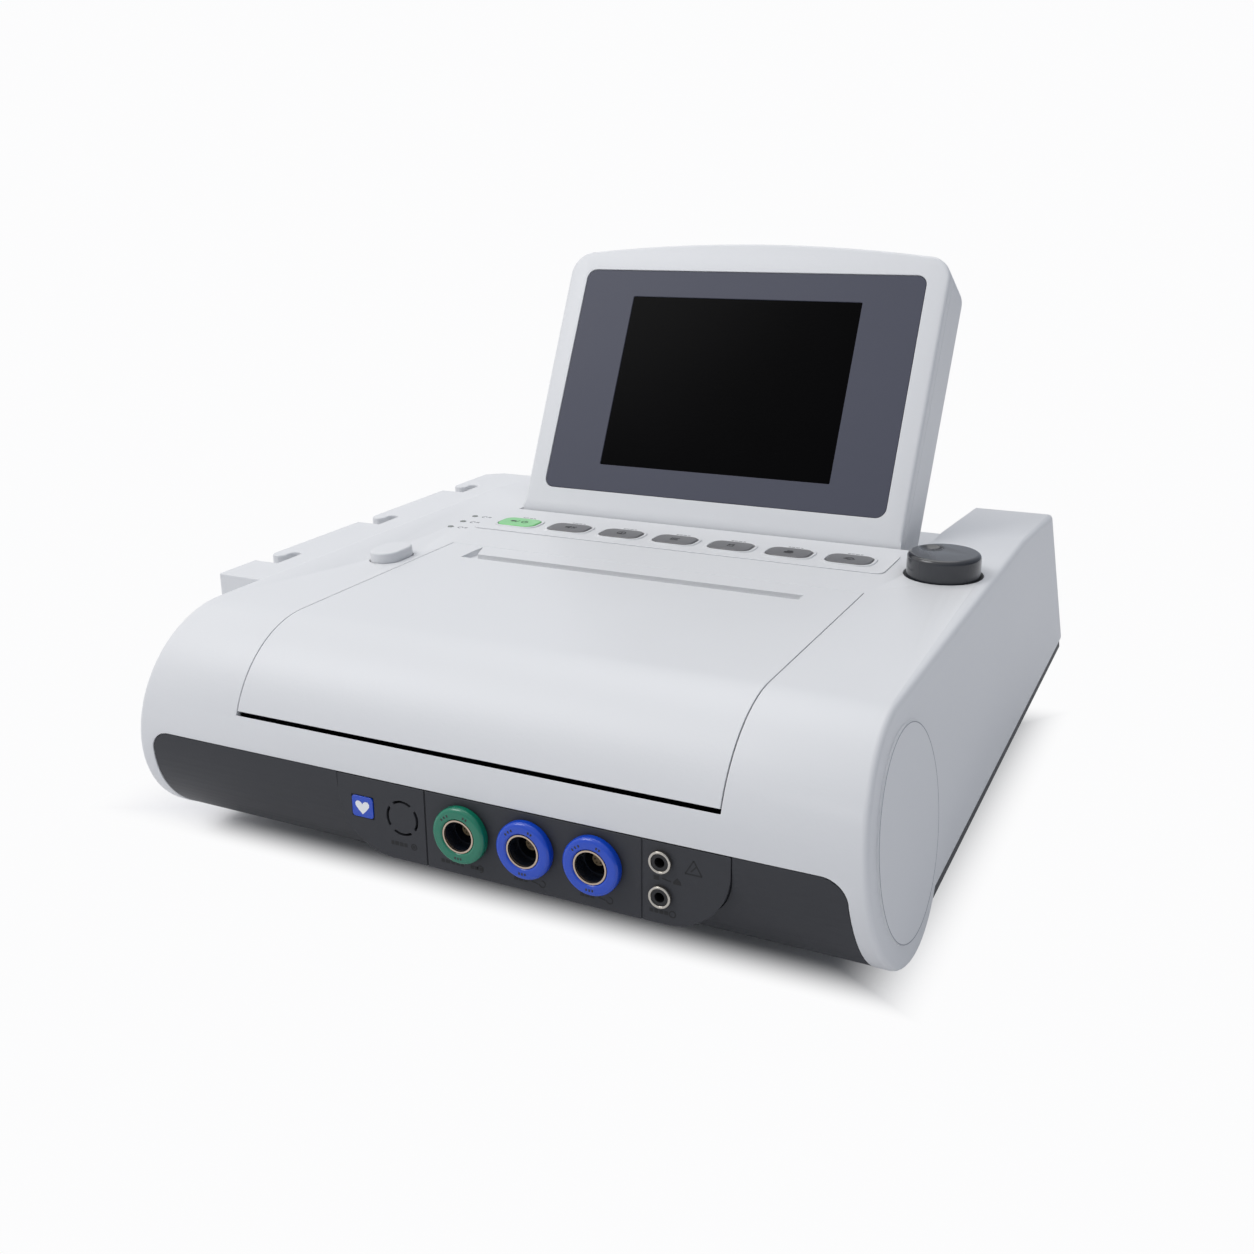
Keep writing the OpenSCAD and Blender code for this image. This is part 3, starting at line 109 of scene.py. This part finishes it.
MATS = {
    "case_white": finish_of("case_white", "DEDFE1", 0.42, grain=0.12, tint=0.012),
    "case_dark": finish_of("case_dark", "3A3B3E", 0.55, grain=0.2),
    "band": finish_of("band", "3A3B3F", 0.48, grain=0.14, tint=0.03, ior=1.35),
    "mask": finish_of("mask", "4E505D", 0.42, grain=0.05, tint=0.03, ior=1.3),
    "display": finish_of("display", "040405", 0.22, tint=0.3, ior=1.1, spread=0.03),
    "key_green": finish_of("key_green", "84D489", 0.32, tint=0.05, coat=0.3),
    "key_grey": finish_of("key_grey", "6E6E70", 0.33, tint=0.05, coat=0.1),
    "knob": finish_of("knob", "2A2C31", 0.24, tint=0.05, coat=0.5),
    "ring_green": finish_of("ring_green", "06755A", 0.22, tint=0.06, coat=0.35, spread=0.04),
    "ring_blue": finish_of("ring_blue", "0444C0", 0.22, tint=0.06, coat=0.35, spread=0.04),
    "nickel": finish_of("nickel", "C4BFB6", 0.22, metal=1.0, tint=0.05),
    "insert": finish_of("insert", "77664A", 0.45, tint=0.15),
    "board": finish_of("board", "1F5A38", 0.40, tint=0.1, coat=0.3),
    "steel": finish_of("steel", "B4B6BA", 0.30, metal=1.0, tint=0.05),
    "zinc": finish_of("zinc", "9A9DA2", 0.42, metal=0.6, tint=0.06),
    "brass": finish_of("brass", "C2A050", 0.28, metal=1.0, tint=0.06),
    "rubber": finish_of("rubber", "1C1C1E", 0.75, grain=0.3, tint=0.1),
    "tray": finish_of("tray", "B2B4B8", 0.5, grain=0.1, tint=0.03),
    "paper": finish_of("paper", "F2F0EA", 0.8, grain=0.1, grain_size=400, tint=0.02),
    "black": finish_of("black", "1A1A1C", 0.45, grain=0.15, tint=0.1),
    "lens": finish_of("lens", "7E857E", 0.2, coat=0.5, tint=0.05),
    "gear": finish_of("gear", "ECEADB", 0.45, tint=0.03),
    "wrap": finish_of("wrap", "26406B", 0.3, tint=0.05),
    "back_panel": finish_of("back_panel", "8E9196", 0.45, metal=0.2, grain=0.1, tint=0.03),
    "ink_dark": finish_of("ink_dark", "232428", 0.5, tint=0.1),
    "ink_grey": finish_of("ink_grey", "5E6066", 0.5, tint=0.08),
    "ink_band": finish_of("ink_band", "17181A", 0.6, tint=0.1),
    "ink_white": finish_of("ink_white", "F0F2F5", 0.4, tint=0.02),
    # Grey of the painted shade ring round the edge of each side disc, not a real seam.
    "painted_shade_grey": finish_of("painted_shade_grey", "9A9DA4", 0.6, tint=0.05),
}


def bore_dark(m, deep):
    """Turns the metal of a socket dark and less metallic beyond a depth."""
    nt = m.node_tree
    bsdf = nt.nodes["Principled BSDF"]
    co = nt.nodes["Texture Coordinate"]
    part = nt.nodes.new("ShaderNodeSeparateXYZ")
    nt.links.new(co.outputs["Object"], part.inputs[0])
    ramp = nt.nodes.new("ShaderNodeMapRange")
    ramp.inputs["From Min"].default_value = deep
    ramp.inputs["From Max"].default_value = deep + 0.0004
    nt.links.new(part.outputs["Y"], ramp.inputs["Value"])
    old = bsdf.inputs["Base Color"].links[0].from_socket
    mix = nt.nodes.new("ShaderNodeMix")
    mix.data_type = "RGBA"
    mix.inputs["B"].default_value = rgb("1C212B")
    nt.links.new(ramp.outputs["Result"], mix.inputs["Factor"])
    nt.links.new(old, mix.inputs["A"])
    nt.links.new(mix.outputs["Result"], bsdf.inputs["Base Color"])
    metal = nt.nodes.new("ShaderNodeMapRange")
    metal.inputs["From Min"].default_value = deep
    metal.inputs["From Max"].default_value = deep + 0.0004
    metal.inputs["To Min"].default_value = 1.0
    metal.inputs["To Max"].default_value = 0.1
    nt.links.new(part.outputs["Y"], metal.inputs["Value"])
    nt.links.new(metal.outputs["Result"], bsdf.inputs["Metallic"])
    return m


LINER = bore_dark(finish_of("nickel_liner", "C8B6A4", 0.24, metal=1.0, tint=0.05), FRONT_Y * MM - 0.0030)
for n, o in NODES.items():
    o.data.materials.clear()
    o.data.materials.append(LINER if n == "socket_shells" else MATS[SLOT[n]])


# ---------------------------------------------------------------- pieces made from the CAD shapes

def softened(node, width, segments=3, angle=25, edges=None, wide=0.0, wide_segments=5):
    """A copy of a CAD piece with its edges rounded, shown in its place. edges picks the ones that get the wide radius."""
    o = bpy.data.objects.new("soft_" + node, NODES[node].data.copy())
    bpy.context.scene.collection.objects.link(o)
    bm = bmesh.new()
    bm.from_mesh(o.data)
    bmesh.ops.remove_doubles(bm, verts=bm.verts, dist=2e-5)
    bmesh.ops.dissolve_degenerate(bm, dist=2e-5, edges=bm.edges)
    bmesh.ops.dissolve_limit(bm, angle_limit=math.radians(0.4), verts=bm.verts, edges=bm.edges)
    if edges:
        chosen = [e for e in bm.edges if len(e.link_faces) == 2 and e.calc_face_angle(0) > math.radians(angle) and edges(e)]
        bmesh.ops.bevel(bm, geom=chosen, offset=wide * MM, segments=wide_segments, profile=0.5, affect="EDGES",
                        clamp_overlap=False)
    bm.to_mesh(o.data)
    bm.free()
    for p in o.data.polygons:
        p.use_smooth = True
    o.data.set_sharp_from_angle(angle=math.radians(32))
    if width:
        b = o.modifiers.new("edge", "BEVEL")
        b.width, b.segments, b.limit_method, b.angle_limit = width * MM, segments, "ANGLE", math.radians(angle)
        b.use_clamp_overlap = False
        b.harden_normals = True
    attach(o, BODY[node])
    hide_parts(node)
    return o


for node, width in {"key_strip": 0.3, "key_start": 0.6, "release_button": 1.0, "socket_plate": 0.25,
                    "lower_case": 0.4, "transducer_shelf": 0.8, "rear_panel": 0.2, "power_rocker": 0.4,
                    "screen_mask": 0.25, "jack_nuts": 0.35, "emblem_plate": 0.2, "mains_inlet": 0.3,
                    "front_band": 0.25, "feet": 0.6}.items():
    softened(node, width)
for i in range(1, 7):
    softened("key_%d" % i, 0.6)


def side_x(z):
    return 142 + 0.12 * (deck(SCREEN_Y) - z)


def outer_side(e):
    """Edges round the two side walls of the case, but not those of the raised discs."""
    for v in e.verts:
        x, y, z = v.co / MM
        if abs(abs(x - MID_X) - side_x(z)) > 0.06 or math.hypot(y - NOSE_Y, z - NOSE_Z) < 41:
            return False
    return e.is_convex


def screen_edge(e):
    """Outer edges of the front of the screen housing."""
    back = Vector((0, math.cos(math.radians(LEAN)), -math.sin(math.radians(LEAN))))
    up = Vector((0, math.sin(math.radians(LEAN)), math.cos(math.radians(LEAN))))
    for v in e.verts:
        p = v.co / MM - Vector((MID_X + SCREEN_X, AXIS_Y, AXIS_Z))
        h = p.dot(up)
        if p.dot(back) > -15.3 or (abs(p.x) < 92 and h < 128):
            return False
    return e.is_convex


softened("upper_case", 0.3, 2, edges=outer_side, wide=2.2, wide_segments=4)
softened("screen_front", 0.25, 2, edges=screen_edge, wide=1.8, wide_segments=4)
softened("paper_door", 0.2, 2)
softened("knob_cap", 0.3, 2)
softened("socket_ring_green", 1.0, 5)
softened("socket_rings_blue", 1.0, 5)

# ---------------------------------------------------------------- small printed marks, and painted shade rings at the side discs

def turned(origin, x, y, z):
    return Matrix.Translation(Vector(origin)) @ Matrix((x, y, z)).transposed().to_4x4()


def on_deck(x, y, up=0.0):
    a = math.atan(RISE)
    return (Matrix.Translation((MID_X + x, y, deck(y))) @ Matrix.Rotation(a, 4, "X") @ Matrix.Translation((0, 0, up)))


def on_front(x, z, out=0.0):
    return turned((MID_X + x, FRONT_Y - out, z), (1, 0, 0), (0, 0, 1), (0, -1, 0))


def outlines(parts):
    """Flat outlines, as lists of faces of (x, y), of simple marks."""
    faces = []
    for p in parts:
        k, v = p[0], p[1:]
        if k == "rect":
            x, y, w, h = v
            faces.append([(x - w / 2, y - h / 2), (x + w / 2, y - h / 2), (x + w / 2, y + h / 2), (x - w / 2, y + h / 2)])
        elif k == "line":
            x0, y0, x1, y1, w = v
            d = Vector((x1 - x0, y1 - y0)).normalized() * w / 2
            faces.append([(x0 + d.y, y0 - d.x), (x1 + d.y, y1 - d.x), (x1 - d.y, y1 + d.x), (x0 - d.y, y0 + d.x)])
        elif k == "arc":
            x, y, r, w, a0, a1 = v
            n = max(4, int(abs(a1 - a0) / (15 if r < 10 else 4)))
            for i in range(n):
                q = [math.radians(a0 + (a1 - a0) * (i + j) / n) for j in (0, 1)]
                faces.append([(x + (r - w / 2) * math.cos(q[0]), y + (r - w / 2) * math.sin(q[0])),
                              (x + (r + w / 2) * math.cos(q[0]), y + (r + w / 2) * math.sin(q[0])),
                              (x + (r + w / 2) * math.cos(q[1]), y + (r + w / 2) * math.sin(q[1])),
                              (x + (r - w / 2) * math.cos(q[1]), y + (r - w / 2) * math.sin(q[1]))])
        elif k == "dot":
            x, y, r = v
            faces.append([(x + r * math.cos(math.radians(a)), y + r * math.sin(math.radians(a))) for a in range(0, 360, 30)])
        else:
            faces.append(list(v[0]))
    return faces


def mark(name, parts, place, body, mat, thick=0.08):
    """Flat outlines with a little thickness, on a surface of a body: printed marks, and the painted shade ring at each
    side disc.
    """
    bm = bmesh.new()
    for f in outlines(parts):
        vs = [bm.verts.new((x, y, 0)) for x, y in f]
        bm.faces.new(vs)
    bmesh.ops.recalc_face_normals(bm, faces=bm.faces)
    out = bmesh.ops.extrude_face_region(bm, geom=bm.faces[:])
    bmesh.ops.translate(bm, verts=[g for g in out["geom"] if isinstance(g, bmesh.types.BMVert)], vec=(0, 0, thick))
    bmesh.ops.recalc_face_normals(bm, faces=bm.faces)
    me = bpy.data.meshes.new(name)
    bm.to_mesh(me)
    bm.free()
    me.transform(Matrix.Scale(MM, 4) @ place)
    me.materials.append(MATS[mat])
    o = bpy.data.objects.new(name, me)
    bpy.context.scene.collection.objects.link(o)
    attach(o, body)
    return o


KEY_Y, PITCH = SCREEN_Y - 28, 27.7
GLYPHS = [
    [("rect", -3.4, 0, 2.6, 1.8), ("line", -1.6, -1.6, -0.6, 1.6, 0.4), ("arc", 2.8, -0.1, 1.5, 0.5, -240, 60), ("line", 2.8, 0.2, 2.8, 2.0, 0.5)],
    [("poly", [(-2.2, -0.9), (-0.9, -0.9), (0.5, -2.1), (0.5, 2.1), (-0.9, 0.9), (-2.2, 0.9)]), ("line", 1.4, -1.4, 3.2, 1.4, 0.45), ("line", 1.4, 1.4, 3.2, -1.4, 0.45)],
    [("arc", 0, 0, 2.0, 0.5, 0, 360), ("rect", 0, 0, 0.5, 2.2), ("rect", 0, -1.2, 1.6, 0.45)],
    [("rect", 0, 1.4, 3.8, 0.5), ("rect", 0, 0, 2.6, 0.5), ("rect", 0, -1.4, 3.8, 0.5), ("rect", -1.9, 0, 0.5, 3.2)],
    [("rect", -1.2, 0, 0.5, 3.6), ("line", -1.2, 0, 1.2, 1.8, 0.5), ("rect", 1.2, -0.6, 0.5, 2.4), ("rect", 0.6, -1.6, 2.0, 0.45)],
    [("rect", 0, -0.6, 4.2, 1.8), ("rect", 0, 1.2, 2.6, 1.0), ("line", -1.4, -2.2, 1.4, -2.2, 0.4)],
    [("arc", 0, -0.4, 1.8, 0.5, 10, 170), ("line", -2.6, -0.6, 2.6, -0.6, 0.5), ("arc", 0, -0.8, 0.9, 0.45, 180, 360)],
]
for i, g in enumerate(GLYPHS):
    node = "key_start" if i == 0 else "key_%d" % i
    mark("glyph_%d" % i, g, on_deck(SCREEN_X + (i - 3) * PITCH, KEY_Y, 1.3), BODY[node], "ink_dark", 0.06)
    caption = [("rect", x, 10.1, w, 0.7) for x, w in ((-3.2, 1.2), (-1.5, 1.6), (0.6, 1.8), (2.6, 1.2))]
    mark("caption_%d" % i, caption, on_deck(SCREEN_X + (i - 3) * PITCH, KEY_Y, 0.5), "base", "ink_grey", 0.05)
for i, y in enumerate((SCREEN_Y - 45, SCREEN_Y - 34, SCREEN_Y - 23)):
    mark("lamp_mark_%d" % i, [("arc", 5.6, 0, 1.2, 0.4, 0, 300), ("rect", 8.4, 0, 1.6, 0.5), ("rect", 8.4, 1.0, 1.6, 0.4)],
         on_deck(-116, y), "base", "ink_grey", 0.05)

FRONT_MARKS = {
    "blank": [("rect", -22.4 + x, 33.2, w, 1.5) for x, w in ((-5.0, 1.2), (-3.2, 1.6), (-1.2, 1.5), (0.6, 1.3))] +
             [("arc", -18.2, 33.2, 1.1, 0.4, 0, 360), ("rect", -18.2, 33.2, 1.0, 1.0)],
    "green": [("rect", 3.1 + x, 30.9, w, 1.3) for x, w in ((-9, 1.4), (-7, 1.8), (-4.8, 1.6), (-2.8, 1.4), (-1.0, 1.2), (3.2, 1.4), (5.0, 1.6), (6.8, 1.4))] +
             [("arc", 9.6, 30.9, 1.2, 0.4, -100, 190)],
    "blue_a": [("rect", 28.9 + x, 30.9, w, 1.3) for x, w in ((-4.8, 1.6), (-2.9, 1.6), (-1.0, 1.4))] +
              [("line", 30.2, 31.2, 32.8, 30.6, 0.4), ("arc", 34.4, 30.9, 1.2, 0.4, -170, 100)],
    "blue_b": [("rect", 54.7 + x, 30.9, w, 1.3) for x, w in ((-4.8, 1.6), (-2.9, 1.6), (-1.0, 1.4))] +
              [("line", 56.0, 31.2, 58.6, 30.6, 0.4), ("arc", 60.2, 30.9, 1.2, 0.4, -170, 100)],
    "jack_a": [("rect", 77.4, 43.6, 2.0, 1.6), ("line", 79.4, 43.8, 82.6, 43.2, 0.4),
               ("poly", [(83.4, 42.6), (86.2, 42.6), (86.2, 43.4), (84.8, 45.0), (83.4, 43.4)])],
    "jack_b": [("rect", 79 + x, 31.4, w, 1.3) for x, w in ((-3.4, 1.4), (-1.6, 1.4), (0.2, 1.4), (2.0, 1.4))] +
              [("arc", 83.2, 31.4, 1.1, 0.4, 0, 360)],
    "triangle": [("line", 87.6, 47.4, 93.4, 47.4, 0.45), ("line", 87.6, 47.4, 90.5, 52.4, 0.45), ("line", 93.4, 47.4, 90.5, 52.4, 0.45),
                 ("line", 89.6, 48.4, 91.4, 50.4, 0.5)],
}
for n, g in FRONT_MARKS.items():
    mark("legend_" + n, g, on_front(0, 0), "base", "ink_band", 0.05)
for i, x in enumerate((3.1, 28.9, 54.7)):
    parts = []
    for a in (118, 128, 138, 62, 70, 262, 270, 278):
        c, q = math.cos(math.radians(a)), math.sin(math.radians(a))
        parts.append(("line", x + 7.75 * c, 43.5 + 7.75 * q, x + 8.65 * c, 43.5 + 8.65 * q, 0.62))
    mark("ring_marks_%d" % i, parts, on_front(0, 0, 4.0), "base", "ink_dark", 0.03)
lean = math.atan(0.12)
# Painted shade: a thin grey ring on each side wall round the raised disc stands in for the shading of the disc's
# rounded edge.
for side, name in ((1, "right"), (-1, "left")):
    place = turned((MID_X + side * (side_x(NOSE_Z) + 0.8), NOSE_Y, NOSE_Z), (0, side, 0),
                   (-side * math.sin(lean), 0, math.cos(lean)), (side * math.cos(lean), 0, math.sin(lean)))
    mark("disc_edge_painted_shade_" + name, [("arc", 0, 0, 36.3, 0.35, 0, 360)], place, "base", "painted_shade_grey", 0.03)
heart = [(-39.8 + 3.1 * x, 44.6 + 2.9 * y) for x, y in ((0, -0.95), (0.55, -0.4), (0.95, 0.12), (0.98, 0.5), (0.75, 0.78), (0.42, 0.8), (0.12, 0.6),
         (0, 0.38), (-0.12, 0.6), (-0.42, 0.8), (-0.75, 0.78), (-0.98, 0.5), (-0.95, 0.12), (-0.55, -0.4))]
mark("emblem_heart", [("poly", heart)], on_front(0, 0, 0.3), "base", "ink_white", 0.05)

# ---------------------------------------------------------------- floor, light and camera
floor = bpy.data.meshes.new("floor")
bm = bmesh.new()
bmesh.ops.create_grid(bm, x_segments=1, y_segments=1, size=8)
bm.to_mesh(floor)
bm.free()
floor = bpy.data.objects.new("floor", floor)
bpy.context.scene.collection.objects.link(floor)
floor.location.z = -0.0002
fm = bpy.data.materials.new("floor")
fm.use_nodes = True
nt = fm.node_tree
nt.nodes.clear()
out = nt.nodes.new("ShaderNodeOutputMaterial")
dif = nt.nodes.new("ShaderNodeBsdfDiffuse")
dif.inputs["Color"].default_value = (0.80, 0.80, 0.81, 1)
em = nt.nodes.new("ShaderNodeEmission")
em.inputs["Color"].default_value = (0.975, 0.975, 0.98, 1)
em.inputs["Strength"].default_value = 1.0
mx = nt.nodes.new("ShaderNodeMixShader")
co = nt.nodes.new("ShaderNodeTexCoord")
part = nt.nodes.new("ShaderNodeSeparateXYZ")
nt.links.new(co.outputs["Object"], part.inputs[0])
reach = []
for axis, low, high in (("X", 0.135, 0.175), ("X", -0.150, -0.200), ("Y", -0.126, -0.151), ("Y", 0.10, 0.16)):
    rg = nt.nodes.new("ShaderNodeMapRange")
    rg.interpolation_type = "SMOOTHSTEP"
    rg.inputs["From Min"].default_value = low
    rg.inputs["From Max"].default_value = high
    nt.links.new(part.outputs[axis], rg.inputs["Value"])
    reach.append(rg.outputs["Result"])
while len(reach) > 1:
    top = nt.nodes.new("ShaderNodeMath")
    top.operation = "MAXIMUM"
    nt.links.new(reach.pop(), top.inputs[0])
    nt.links.new(reach.pop(), top.inputs[1])
    reach.append(top.outputs[0])
ray = nt.nodes.new("ShaderNodeLightPath")
both = nt.nodes.new("ShaderNodeMath")
both.operation = "MULTIPLY"
nt.links.new(reach[0], both.inputs[0])
nt.links.new(ray.outputs["Is Camera Ray"], both.inputs[1])
nt.links.new(both.outputs[0], mx.inputs["Fac"])
nt.links.new(dif.outputs["BSDF"], mx.inputs[1])
nt.links.new(em.outputs["Emission"], mx.inputs[2])
nt.links.new(mx.outputs["Shader"], out.inputs["Surface"])
floor.data.materials.append(fm)

world = bpy.data.worlds.new("studio")
bpy.context.scene.world = world
world.use_nodes = True
nt = world.node_tree
nt.nodes.clear()
out = nt.nodes.new("ShaderNodeOutputWorld")
seen = nt.nodes.new("ShaderNodeBackground")
seen.inputs["Color"].default_value = (0.975, 0.975, 0.98, 1)
sky = nt.nodes.new("ShaderNodeBackground")
co = nt.nodes.new("ShaderNodeTexCoord")
dot = nt.nodes.new("ShaderNodeVectorMath")
dot.operation = "DOT_PRODUCT"
dot.inputs[1].default_value = Vector((-0.58, -0.12, 0.80)).normalized()
nt.links.new(co.outputs["Generated"], dot.inputs[0])
ramp = nt.nodes.new("ShaderNodeMapRange")
ramp.inputs["From Min"].default_value = -0.7
ramp.inputs["From Max"].default_value = 0.9
ramp.inputs["To Min"].default_value = 0.14
ramp.inputs["To Max"].default_value = 0.86
nt.links.new(dot.outputs["Value"], ramp.inputs["Value"])
tone = nt.nodes.new("ShaderNodeMix")
tone.data_type = "RGBA"
tone.inputs["A"].default_value = (0.80, 0.87, 1.0, 1)
tone.inputs["B"].default_value = (1.0, 0.985, 0.97, 1)
nt.links.new(dot.outputs["Value"], tone.inputs["Factor"])
nt.links.new(tone.outputs["Result"], sky.inputs["Color"])
nt.links.new(ramp.outputs["Result"], sky.inputs["Strength"])
lp = nt.nodes.new("ShaderNodeLightPath")
mx = nt.nodes.new("ShaderNodeMixShader")
nt.links.new(lp.outputs["Is Camera Ray"], mx.inputs["Fac"])
nt.links.new(sky.outputs["Background"], mx.inputs[1])
nt.links.new(seen.outputs["Background"], mx.inputs[2])
nt.links.new(mx.outputs["Shader"], out.inputs["Surface"])


def area(name, place, aim, size, power, colour=(1, 1, 1)):
    d = bpy.data.lights.new(name, "AREA")
    d.shape, d.size, d.energy, d.color = "DISK", size, power, colour
    o = bpy.data.objects.new(name, d)
    bpy.context.scene.collection.objects.link(o)
    o.location = place
    o.rotation_euler = (Vector(aim) - Vector(place)).to_track_quat("-Z", "Y").to_euler()
    return o


area("key", (-1.1, -0.75, 1.7), (0, 0, 0.08), 1.1, 12)
area("top", (-0.2, 0.6, 1.7), (0, 0, 0.1), 1.4, 6)

scene = bpy.context.scene
cam = bpy.data.cameras.new("camera")
camera = bpy.data.objects.new("camera", cam)
scene.collection.objects.link(camera)
scene.camera = camera
yaw, pitch, roll = map(math.radians, (-26.401, 17.678, -0.314))
fwd = Vector((math.sin(yaw) * math.cos(pitch), math.cos(yaw) * math.cos(pitch), -math.sin(pitch)))
right = Vector((math.cos(yaw), -math.sin(yaw), 0))
up = right.cross(fwd)
right2 = math.cos(roll) * right + math.sin(roll) * up
up2 = -math.sin(roll) * right + math.cos(roll) * up
camera.matrix_world = turned(Vector((0.2538, -0.5224, 0.2524)), right2, up2, -fwd)
cam.sensor_width = 36
cam.lens = 1331.457 / 1254 * 36
cam.clip_start, cam.clip_end = 0.01, 50
scene.view_settings.view_transform = "Standard"
scene.view_settings.look = "None"
